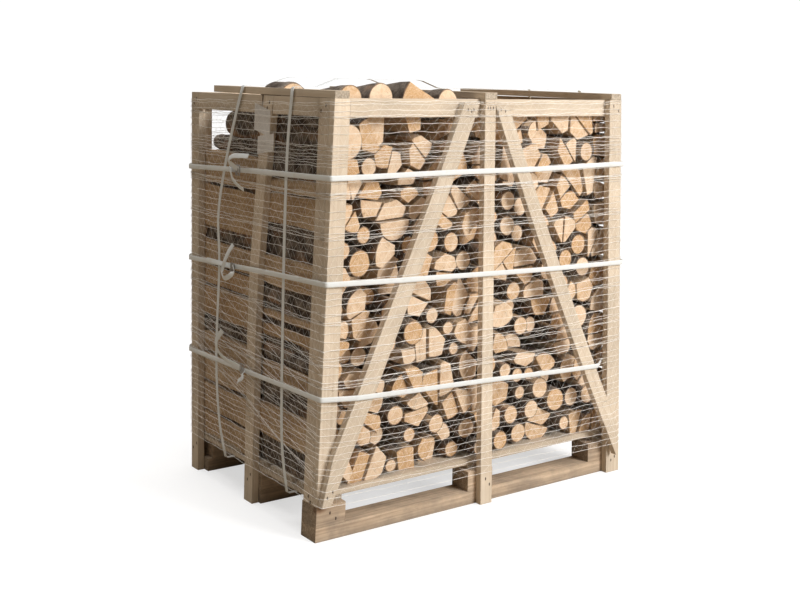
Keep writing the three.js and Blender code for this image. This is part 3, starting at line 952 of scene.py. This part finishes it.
class CRATE_OT_stack_logs(bpy.types.Operator):
    """Stacks two rows of split and round birch logs"""

    bl_idname = "crate.stack_logs"
    bl_label = "Stack the logs"

    def crown_logs(self):
        """The logs heaped on the front row's left half, and the round one below them by the
        left face: pith, bark radius and split planes."""
        turned = lambda degrees: cmath.exp(1j * math.radians(degrees))
        peak = -0.300 + 1.266j
        return [
            (-0.519 + 1.214j, 0.041, []),
            (-0.409 + 1.217j, 0.044, []),
            (-0.222 + 1.190j, 0.109, [(turned(63), dot(turned(63), peak)), (-1j, -1.182),
                                      (turned(-12), -0.457)]),
            (-0.154 + 1.206j, 0.041, []),
            (-0.088 + 1.160j, 0.060, [(-1j, -1.178)]),
            (-0.521 + 1.103j, 0.049, []),
        ]

    def ends(self, pick):
        """How far back a log's ends are from the row's two faces."""
        chance = pick.random()
        if chance < 0.70:
            back = pick.uniform(0.0, 0.022)
        elif chance < 0.94:
            back = pick.uniform(0.024, 0.060)
        else:
            back = pick.uniform(0.075, 0.140)
        return back, pick.uniform(0.0, 0.022)

    def stack(self, row, side, shapes, extra, clear):
        """Fills one row and shares its logs between its left and right piece."""
        pick = row.random
        x, z, radius = row.settle()
        for pith, bark in clear:
            away = np.hypot(x - pith.real, z - pith.imag) > 0.9 * bark
            x, z, radius = x[away], z[away], radius[away]
        count = len(x)
        for pith, bark in clear:
            x, z = np.append(x, pith.real), np.append(z, pith.imag)
            radius = np.append(radius, bark)
        logs = [(log, 0.006) for i in range(count) for log in row.logs(i, x, z, radius)]
        for pith, bark, planes in extra:
            outline = disc(pith, bark)
            for way, reach in planes:
                outline = cut(outline, way, reach)
            logs.append(((outline, pith, bark), 0.003))
        for found, tilt in logs:
            if found is None:
                continue
            outline, pith, bark = found
            back, inner = self.ends(pick)
            heaped = tilt < 0.005
            middle = sum(outline) / len(outline)
            seen_through = -side * middle.real > LOAD_HALF - 0.24
            if heaped or seen_through or abs(middle.real) > LOAD_HALF - 0.09:
                back = pick.uniform(0.0, 0.010)
            shape = shapes[0 if middle.real < 0 else 1]
            add_log(shape, outline, pith, bark, side * (LOAD_FAR - back),
                    side * (LOAD_NEAR + inner), pick, tilt,
                    0.045 if heaped and pith.imag > 1.15 else 0.0)

    def screen(self, row, side, shapes):
        """Lays thin bark-clad sheets just inside both ends of a stack as painted shade, so that no
        gap shows through it.
        """
        for shape, way in zip(shapes, (-1, 1)):
            levels = np.linspace(DECK_TOP + 0.006, row.top(way * (LOAD_HALF - 0.012)) - 0.02, 8)
            left, right = sorted(way * reach for reach in SHADE_SCREEN)
            for low, high in zip(levels[:-1], levels[1:]):
                outline = [complex(left, low), complex(right, low), complex(right, high),
                           complex(left, high)]
                start, end = (side * y for y in SHADE_SCREEN_RUN)
                # each sheet is a flat slab with bark sides: painted shade for the stack's dark
                # depths
                add_log(shape, outline, sum(outline) / 4, 0.001, start, end, row.random, 0.001)

    def execute(self, context):
        materials = [end_grain_material(), split_material(), bark_material()]
        front_top = lambda x: 1.178 if x < -0.05 else 1.203
        back_top = lambda x: 1.045 if x < -0.30 else 1.203
        # places kept clear in the front row: one for a round log, one a dark hollow
        clear = [(-0.521 + 1.103j, 0.051), (-0.335 + 1.128j, 0.046)]
        rows = [("front", -1, Row(21, front_top, -1), self.crown_logs(), clear),
                ("back", 1, Row(34, back_top, 1), [], [])]
        for name, side, row, extra, clear in rows:
            shapes = [Shape(), Shape()]
            self.stack(row, side, shapes, extra, clear)
            self.screen(row, side, shapes)
            if name == "front":
                # a short offcut lies on the heap by the left face
                pith, bark = -0.545 + 1.207j, 0.049
                add_log(shapes[0], cut(disc(pith, bark), -1j, -1.196), pith, bark,
                        -0.118, -0.012, row.random, 0.002)
            else:
                # three short ones lie in the hollow at the back: pith, bark radius, start and end
                for pith, bark, near, far in ((-0.530 + 1.068j, 0.021, 0.330, 0.172),
                                              (-0.541 + 1.130j, 0.039, 0.206, 0.026),
                                              (-0.536 + 1.068j, 0.021, 0.165, 0.026)):
                    add_log(shapes[0], disc(pith, bark), pith, bark, near, far, row.random,
                            0.002)
            for shape, half in zip(shapes, ("left", "right")):
                shape.make(f"logs_{name}_{half}", materials, "birch_log",
                           [f"log_stack_{name}_{half}"], 38.0)
        return {"FINISHED"}


# ---------------------------------------------------------------- net


class CRATE_OT_wrap_net(bpy.types.Operator):
    """Wraps the knitted net round the crate"""

    bl_idname = "crate.wrap_net"
    bl_label = "Wrap the net"

    def heights(self, pick):
        """Heights of the net's rows, closer together where it has bunched up."""
        z, top = NET_ROWS
        rows = []
        while z < top:
            rows.append(z)
            z += sizes().net_pitch * pick.uniform(0.6, 1.2)
        for low, high, count in ((1.05, 1.10, 5), (0.965, 1.0, 4), (0.84, 0.88, 3),
                                 (0.62, 0.66, 3), (0.43, 0.56, 6), (1.17, 1.21, 2)):
            rows += [pick.uniform(low, high) for _ in range(count)]
        return sorted(rows)

    def execute(self, context):
        pick = random.Random(8)
        shared = [(k, pick.uniform(0, 6.28), 0.006 / k) for k in range(1, 9)]
        shape = Shape()
        thread = sizes().net_thread / 2

        def row_at(z, own):
            """One row's points, outward directions and how far round each is."""
            level = min(z, HEIGHT - 0.004)
            flat, outward = taut_outline(board_sections(lambda x, y: level + 0 * x), 0.0036)
            around = share_round(flat)
            rise = sum(size * np.sin(2 * math.pi * k * around + phase + z * 3.0)
                       for k, phase, size in shared)
            ripple = sum(0.0008 * np.sin(2 * math.pi * k * around + own * k)
                         for k in (5, 11, 19, 31, 53))
            height = np.clip(z + rise + ripple, *NET_REACH)
            return raised(flat, height), raised(outward, 0.0), around

        rows = [row_at(z, pick.uniform(0, 6)) for z in self.heights(pick)]
        for path, outward, _ in rows:
            sweep(shape, path, outward, strand(thread), closed=True)
        cells = 2 * round((WIDTH + DEPTH) / 0.033)
        for low, high in zip(rows[:-1], rows[1:]):
            spots = (np.arange(2 * cells) + np.array(
                [pick.uniform(-0.5, 0.5) for _ in range(2 * cells)])) / (2 * cells) % 1.0
            spots.sort()
            at = [[np.interp(spots, row[2], row[0][:, axis], period=1.0) for axis in range(3)]
                  for row in (low, high)]
            upper = np.arange(2 * cells) % 2 == 1
            path = np.where(upper, at[1], at[0]).T
            outward = np.array([np.interp(spots, low[2], low[1][:, axis], period=1.0)
                                for axis in range(3)]).T
            sweep(shape, path - outward * 0.0003, outward, strand(thread * 0.4), closed=True)
        self.slanting(shape, pick, thread, rows)
        material, tree, shader = new_material("net_thread", Roughness=0.45)
        place = object_place(tree)
        twist = cloudy(tree, place, 900.0, 2.0)
        dusty = spread(tree, cloudy(tree, place, 6.0, 2.0), 0.4, 0.7, 0.0, 0.35)
        colour = mixed(tree, dusty, rgba("net"), (0.74, 0.66, 0.56, 1.0))
        colour = mixed(tree, spread(tree, twist, 0.5, 0.7, 0.0, 0.3), colour,
                       (0.93, 0.92, 0.90, 1.0))
        link_finish(tree, shader, colour, spread(tree, twist, 0.3, 0.7, 0.35, 0.6))
        plug(tree, bumped(tree, twist, 0.4, 0.0004), shader["Normal"])
        shape.make("net", [material], "net", ["net_sleeve"], 180.0, leaned=True)
        return {"FINISHED"}

    def slanting(self, shape, pick, thread, rows):
        """Loose threads that slope down towards the front over the left face's lower half."""
        nearest, furthest = -DEPTH / 2 + 0.01, DEPTH / 2 - 0.04
        for _ in range(16):
            base, slope = pick.uniform(0.13, 0.50), pick.uniform(0.16, 0.42)
            run = np.linspace(furthest, nearest, 40)
            height = np.clip(base + slope * (run - nearest) + 0.003 * np.sin(run * 17 + base * 40),
                             0.11, 0.62)
            path = lean(np.column_stack([np.full(40, -SIDE - 0.0046), run, height]))
            sweep(shape, path, np.tile([-1.0, 0, 0], (40, 1)), strand(thread * 0.8))


# ---------------------------------------------------------------- straps


def strap_material():
    """White woven strapping: cords along it, a crossing weave with painted shade in its grooves,
    and a little dirt.
    """
    material, tree, shader = new_material("woven_strap", Roughness=0.42)
    lay = parted(tree, mark(tree, "lay"))
    place = object_place(tree)
    cords = calc(tree, "SINE", product(tree, lay[1], 4200.0))
    weft = calc(tree, "SINE", product(tree, lay[0], 2600.0))
    weave = total(tree, product(tree, cords, 0.7), product(tree, product(tree, cords, weft), 0.3))
    dirt = spread(tree, cloudy(tree, place, 30.0, 5.0, 0.65), 0.52, 0.78, 0.0, 0.3)
    # the weave's grooves are darkened: painted shade
    groove_shade = spread(tree, weave, -0.2, -0.9, 0.0, 0.22)
    colour = mixed(tree, groove_shade, rgba("strap"), (0.60, 0.60, 0.57, 1.0))
    colour = over(tree, colour, dirt, (0.52, 0.46, 0.38))
    link_finish(tree, shader, colour, spread(tree, weave, -1.0, 1.0, 0.58, 0.36))
    plug(tree, bumped(tree, weave, 0.45, 0.0005), shader["Normal"])
    return material


class CRATE_OT_tension_belts(bpy.types.Operator):
    """Tensions the three belts round the crate"""

    bl_idname = "crate.tension_belts"
    bl_label = "Tension the belts"

    def execute(self, context):
        material = strap_material()
        # height at the front left, front right, back right and back left corners
        belts = {"belt_upper": (1.013, 1.019, 1.005, 0.990),
                 "belt_middle": (0.731, 0.702, 0.700, 0.701),
                 "belt_lower": (0.414, 0.376, 0.390, 0.401)}
        section = strap_section(sizes().belt_width, 0.0012)
        for k, (name, (fl, fr, br, bl)) in enumerate(belts.items()):

            def level(x, y):
                s, t = x / WIDTH + 0.5, y / DEPTH + 0.5
                return (fl * (1 - s) + fr * s) * (1 - t) + (bl * (1 - s) + br * s) * t

            tucked = name == "belt_lower"
            boards = board_sections(level, ("end_post_front",) if tucked else ())
            flat, outward = taut_outline(boards, 0.0084, 0.009)
            if tucked:
                flat = self.tuck(flat, level)
            height = level(*flat.T) + 0.0012 * np.sin(flat[:, 0] * 9 + k) * np.cos(
                flat[:, 1] * 7 + k)
            shape = Shape()
            sweep(shape, raised(flat, height), raised(outward, 0.0), section, closed=True)
            shape.make(name + "_strap", [material], "strap", [name], 50.0, leaned=True)
        return {"FINISHED"}

    def tuck(self, flat, level):
        """Passes the belt behind the front end post, from the second brace's edge on."""
        brace = board_sections(level, [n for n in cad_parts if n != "brace_b_front"])
        post = board_sections(level, [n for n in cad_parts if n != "end_post_front"])
        start = brace[:, 0].max() + 0.004
        front = (flat[:, 1] < 0) & (flat[:, 0] > start)
        behind = post[:, 1].max() + 0.0012
        proud = flat[~front & (flat[:, 1] < 0)][:, 1].min()
        line = np.interp(flat[:, 0], [start, post[:, 0].min() - 0.003, post[:, 0].max()],
                         [proud, behind, behind])
        flat[:, 1] = np.where(front, np.maximum(flat[:, 1], line), flat[:, 1])
        return flat


class CRATE_OT_run_upright_straps(bpy.types.Operator):
    """Runs the two straps up the left side, over the load and under the deck"""

    bl_idname = "crate.run_upright_straps"
    bl_label = "Run the upright straps"

    def execute(self, context):
        material = bpy.data.materials["woven_strap"]
        section = strap_section(sizes().upright_width, 0.001)
        # height and y of each strap up the left side, where it hangs a little slack
        straps = {
            "near": [(0.102, -0.238), (0.249, -0.199), (0.511, -0.186), (0.824, -0.178),
                     (1.074, -0.179), (1.234, -0.194)],
            "far": [(0.102, 0.135), (0.211, 0.181), (0.409, 0.205), (0.701, 0.192),
                    (0.854, 0.201), (1.008, 0.162), (1.167, 0.101), (1.240, 0.067)],
        }
        out = SIDE + 0.0059
        top, crown, under = HEIGHT + 0.0265, 1.2695, 0.1028
        for name, stations in straps.items():
            heights, places = np.array(stations).T
            up = np.linspace(under + 0.004, top - 0.006, 46)
            smooth = smooth_line(stations, 60)
            left = [(-out, np.interp(z, smooth[:, 0], smooth[:, 1]), z) for z in up]
            low, high = places[0], places[-1]
            over = [(-out + 0.004, high, top - 0.001), (-0.54, high, top)]
            rise = np.interp(np.linspace(-0.52, -0.02, 26), [-0.52, -0.446, -0.128, -0.05],
                             [top, crown, crown, top])
            over += [(x, high, z) for x, z in zip(np.linspace(-0.52, -0.02, 26), rise)]
            over += [(x, high, top) for x in np.linspace(0.1, out - 0.006, 6)]
            right = [(out, high + (low - high) * (top - z) / top, z)
                     for z in np.linspace(top - 0.006, under + 0.004, 14)]
            below = [(x, low, under) for x in np.linspace(out - 0.004, -out + 0.004, 16)]
            path = np.array(left + over + right + below)
            away = path - np.array([0, 0, 0.62])
            away[:, 1] = 0
            away[:, 0] = np.where(np.abs(path[:, 0]) > out - 0.003, np.sign(path[:, 0]), 0)
            away[:, 2] = np.where(away[:, 0] == 0, np.sign(away[:, 2]), 0)
            shape = Shape()
            sweep(shape, path, away, section, closed=True)
            shape.make(f"upright_{name}", [material], "strap", [f"upright_strap_{name}"],
                       50.0)
        return {"FINISHED"}


class CRATE_OT_tie_belt_ends(bpy.types.Operator):
    """Adds the wire buckles and the loose ends of the belts"""

    bl_idname = "crate.tie_belt_ends"
    bl_label = "Tie the belt ends"

    def buckle(self, shape, y, z, out):
        """A bent wire buckle round the belt."""
        wide, tall, wire = 0.011, 0.0145, 0.0015
        loop = [(out, y + wide * cx, z + tall * cz) for cx, cz in
                ((-1, -0.8), (-0.8, -1), (0.8, -1), (1, -0.8), (1, 0.8), (0.8, 1),
                 (-0.8, 1), (-1, 0.8))]
        sweep(shape, loop, [(-1, 0, 0)] * len(loop), strand(wire, 8), closed=True, finish=1)
        for shift in (-0.003, 0.004):
            bar = [(out - 0.002, y + shift, z + tall * t) for t in np.linspace(-1, 1, 6)]
            sweep(shape, bar, [(-1, 0, 0)] * 6, strand(wire, 8), finish=1)

    def execute(self, context):
        strap = bpy.data.materials["woven_strap"]
        wire, tree, shader = new_material("buckle_wire", Metallic=0.9, Roughness=0.4)
        place = object_place(tree)
        dull = spread(tree, cloudy(tree, place, 260.0, 4.0), 0.4, 0.7)
        plug(tree, mixed(tree, dull, (0.52, 0.52, 0.53, 1.0), (0.30, 0.27, 0.24, 1.0)),
             shader["Base Color"])
        plug(tree, spread(tree, dull, 0.0, 1.0, 0.3, 0.65), shader["Roughness"])
        section = strap_section(sizes().belt_width, 0.0011)
        # each loose end as (how far out, y, z), from its buckle
        ends = {
            "upper": ((0.078, 1.000), [
                [(0.011, 0.130, 1.004), (0.016, 0.112, 0.994), (0.026, 0.086, 0.977),
                 (0.024, 0.062, 0.960), (0.014, 0.037, 0.945)],
                [(0.012, 0.073, 1.002), (0.022, 0.086, 1.012), (0.034, 0.093, 1.028),
                 (0.034, 0.074, 1.041), (0.024, 0.045, 1.044), (0.016, 0.012, 1.045)]]),
            "middle": ((0.100, 0.706), [
                [(0.014, 0.094, 0.778), (0.022, 0.106, 0.756), (0.026, 0.120, 0.730),
                 (0.026, 0.134, 0.704), (0.028, 0.136, 0.688), (0.034, 0.112, 0.676),
                 (0.034, 0.080, 0.686), (0.024, 0.072, 0.702), (0.013, 0.092, 0.711)],
                [(0.0115, 0.260, 0.7095), (0.0112, 0.190, 0.7095), (0.0112, 0.110, 0.7105)]]),
            "lower": ((0.033, 0.411), [
                [(0.012, 0.038, 0.4125), (0.013, 0.086, 0.416), (0.018, 0.128, 0.422),
                 (0.026, 0.158, 0.443), (0.030, 0.162, 0.474), (0.024, 0.136, 0.508)],
                [(0.012, 0.018, 0.405), (0.022, 0.012, 0.398), (0.030, -0.002, 0.392),
                 (0.026, 0.022, 0.380), (0.022, 0.040, 0.370)]]),
        }
        for name, ((y, z), runs) in ends.items():
            shape = Shape()
            for k, run in enumerate(runs):
                line = smooth_line(run, 10 * len(run))
                path = np.column_stack([-SIDE - line[:, 0], line[:, 1:]])
                turn = np.linspace(0.0, 0.55, len(path)) * (1 if k else -1)
                out = np.column_stack([-np.cos(turn), 0 * turn, np.sin(turn)])
                sweep(shape, path, out, section)
            self.buckle(shape, y, z, -SIDE - 0.0115)
            shape.make(f"belt_end_{name}", [strap, wire], "strap", sharp=50.0)
        return {"FINISHED"}


# ---------------------------------------------------------------- labels


class CRATE_OT_hang_labels(bpy.types.Operator):
    """Hangs the two bare paper labels on the left side"""

    bl_idname = "crate.hang_labels"
    bl_label = "Hang the labels"

    def execute(self, context):
        material, tree, shader = new_material("label_paper", Roughness=0.75)
        place = object_place(tree)
        pulp = cloudy(tree, place, 700.0, 4.0)
        crease = cloudy(tree, place, 26.0, 2.0)
        fold = spread(tree, calc(tree, "ABSOLUTE", difference(tree, crease, 0.5)),
                      0.012, 0.0)
        damp = spread(tree, cloudy(tree, place, 18.0, 3.0), 0.45, 0.75, 0.0, 0.35)
        colour = mixed(tree, damp, rgba("paper"), (0.52, 0.48, 0.43, 1.0))
        # the folds are darkened: painted shade along the creases
        colour = over(tree, colour, fold, (0.45, 0.42, 0.39), 0.25)
        link_finish(tree, shader, colour, spread(tree, pulp, 0.3, 0.7, 0.65, 0.85))
        height = difference(tree, pulp, product(tree, fold, 2.0))
        plug(tree, bumped(tree, height, 0.35, 0.0006), shader["Normal"])
        # the lowest and highest y and z of each label, and how far its free corner has curled
        labels = {"label_upper": ((-0.078, 0.006), (1.112, 1.187), 0.0010, 0.02),
                  "label_lower": ((-0.100, -0.014), (1.059, 1.109), 0.0012, -0.012)}
        for name, ((y0, y1), (z0, z1), curl, skew) in labels.items():
            columns, rows = 15, 13
            shape = Shape()
            for layer in (0, 1):
                points = []
                for j in range(rows):
                    for i in range(columns):
                        u, v = i / (columns - 1), j / (rows - 1)
                        lift = 0.0006 + curl * (u ** 3 * (1 - v) + 0.5 * (1 - u) ** 4 * v)
                        lift += 0.0003 * math.sin(9 * u + 4 * v)
                        points.append((-SIDE - lift - 0.0003 * layer,
                                       y0 + (y1 - y0) * u, z0 + (z1 - z0) * v + skew * (u - 0.5)))
                faces = [(j * columns + i, j * columns + i + 1, (j + 1) * columns + i + 1,
                          (j + 1) * columns + i)
                         for j in range(rows - 1) for i in range(columns - 1)]
                shape.add(points, [face[::-1] for face in faces] if layer else faces)
            rim = ([(0, i) for i in range(columns)]
                   + [(j, columns - 1) for j in range(1, rows)]
                   + [(rows - 1, i) for i in range(columns - 2, -1, -1)]
                   + [(j, 0) for j in range(rows - 2, 0, -1)])
            edge = [j * columns + i for j, i in rim]
            half = rows * columns
            shape.faces += [(a, a + half, b + half, b)
                            for a, b in zip(edge, edge[1:] + edge[:1])]
            shape.finish += [0] * len(edge)
            shape.make(name + "_sheet", [material], "label_paper", [name])
        return {"FINISHED"}


# ---------------------------------------------------------------- studio


class CRATE_OT_set_stage(bpy.types.Operator):
    """Sets the pale floor, the soft studio light and the camera"""

    bl_idname = "crate.set_stage"
    bl_label = "Set the stage"

    def light(self, name, place, aim, size, power):
        lamp = bpy.data.lights.new(name, "AREA")
        lamp.shape = "RECTANGLE"
        lamp.size, lamp.size_y = size
        lamp.energy = power
        holder = bpy.data.objects.new(name, lamp)
        holder.location = place
        holder.rotation_mode = "QUATERNION"
        holder.rotation_quaternion = (Vector(aim) - Vector(place)).to_track_quat("-Z", "Y")
        bpy.context.scene.collection.objects.link(holder)

    def execute(self, context):
        scene = context.scene
        mesh = bpy.data.meshes.new("studio_floor")
        reach = 30.0
        mesh.from_pydata([(-reach, -reach, 0), (reach, -reach, 0), (reach, reach, 0),
                          (-reach, reach, 0)], [], [(0, 1, 2, 3)])
        floor = bpy.data.objects.new("studio_floor", mesh)
        scene.collection.objects.link(floor)
        material, tree, shader = new_material("pale_floor", Roughness=0.9)
        place = object_place(tree)
        tone = spread(tree, cloudy(tree, place, 3.0, 2.0), 0.3, 0.7, 0.40, 0.42)
        # the floor looks white but throws little warm light back up at the crate
        seen = add_node(tree, "LightPath").outputs["Is Camera Ray"]
        plug(tree, mixed(tree, seen, (0.34, 0.285, 0.22, 1.0), joined(tree, tone, tone, tone)),
             shader["Base Color"])
        shader["Emission Color"].default_value = (1.0, 1.0, 1.0, 1.0)
        plug(tree, product(tree, seen, 0.62), shader["Emission Strength"])
        shader["Specular IOR Level"].default_value = 0.1
        mesh.materials.append(material)

        world = bpy.data.worlds.new("studio_air")
        world.use_nodes = True
        scene.world = world
        air = world.node_tree
        air.nodes["Background"].inputs["Strength"].default_value = 0.16
        white = air.nodes.new("ShaderNodeBackground")
        white.inputs["Strength"].default_value = 1.05
        seen = air.nodes.new("ShaderNodeLightPath").outputs["Is Camera Ray"]
        pick = air.nodes.new("ShaderNodeMixShader")
        air.nodes["Background"].inputs["Color"].default_value = (1.0, 0.87, 0.70, 1.0)
        white.inputs["Color"].default_value = (1.0, 1.0, 1.0, 1.0)
        air.links.new(seen, pick.inputs[0])
        air.links.new(air.nodes["Background"].outputs[0], pick.inputs[1])
        air.links.new(white.outputs[0], pick.inputs[2])
        air.links.new(pick.outputs[0], air.nodes["World Output"].inputs["Surface"])

        self.light("key", (2.2, -5.4, 3.2), (0.0, -0.2, 0.6), (2.4, 2.4), 420)
        sky = bpy.data.lights.new("overhead", "SUN")
        sky.energy, sky.angle = 2.9, math.radians(45)
        scene.collection.objects.link(bpy.data.objects.new("overhead", sky))

        eye = bpy.data.cameras.new("camera")
        camera = bpy.data.objects.new("camera", eye)
        eye.sensor_width, eye.lens = 36.0, 51.96
        eye.clip_end = 200.0
        yaw, pitch, roll = (math.radians(a) for a in (36.111, -10.832, 1.154))
        forward = Vector((math.sin(yaw) * math.cos(pitch), math.cos(yaw) * math.cos(pitch),
                          math.sin(pitch)))
        right = Vector((math.cos(yaw), -math.sin(yaw), 0.0))
        up = right.cross(forward)
        across = math.cos(roll) * right + math.sin(roll) * up
        upward = -math.sin(roll) * right + math.cos(roll) * up
        turn = Matrix((across, upward, -forward)).transposed()
        eye_place = Vector((CENTRE[0] - 2.1977, CENTRE[1] - 2.9589, 1.2711))
        camera.matrix_world = Matrix.Translation(eye_place) @ turn.to_4x4()
        scene.collection.objects.link(camera)
        scene.camera = camera
        scene.view_settings.view_transform = "Standard"
        return {"FINISHED"}


# ---------------------------------------------------------------- panel and start


STEPS = (
    CRATE_OT_set_stage,
    CRATE_OT_finish_timber,
    CRATE_OT_drive_nails,
    CRATE_OT_stack_logs,
    CRATE_OT_wrap_net,
    CRATE_OT_tension_belts,
    CRATE_OT_run_upright_straps,
    CRATE_OT_tie_belt_ends,
    CRATE_OT_hang_labels,
)


class CRATE_PT_firewood(bpy.types.Panel):
    """Lists the crate's steps"""

    bl_idname = "CRATE_PT_firewood"
    bl_label = "Birch Firewood Crate"
    bl_space_type = "VIEW_3D"
    bl_region_type = "UI"
    bl_category = "Firewood"

    def draw(self, context):
        for step in STEPS:
            self.layout.operator(step.bl_idname)
        for group in (context.scene.crate_sizes, context.scene.crate_colours):
            box = self.layout.box()
            for name in group.__annotations__:
                box.prop(group, name)


CLASSES = (CrateSizes, CrateColours, *STEPS, CRATE_PT_firewood)


def register():
    for made in CLASSES:
        bpy.utils.register_class(made)
    bpy.types.Scene.crate_sizes = bpy.props.PointerProperty(type=CrateSizes)
    bpy.types.Scene.crate_colours = bpy.props.PointerProperty(type=CrateColours)


def unregister():
    del bpy.types.Scene.crate_colours
    del bpy.types.Scene.crate_sizes
    for made in reversed(CLASSES):
        bpy.utils.unregister_class(made)


def main():
    register()
    for step in STEPS:
        group, name = step.bl_idname.split(".")
        getattr(getattr(bpy.ops, group), name)()


if __name__ == "__main__":
    main()
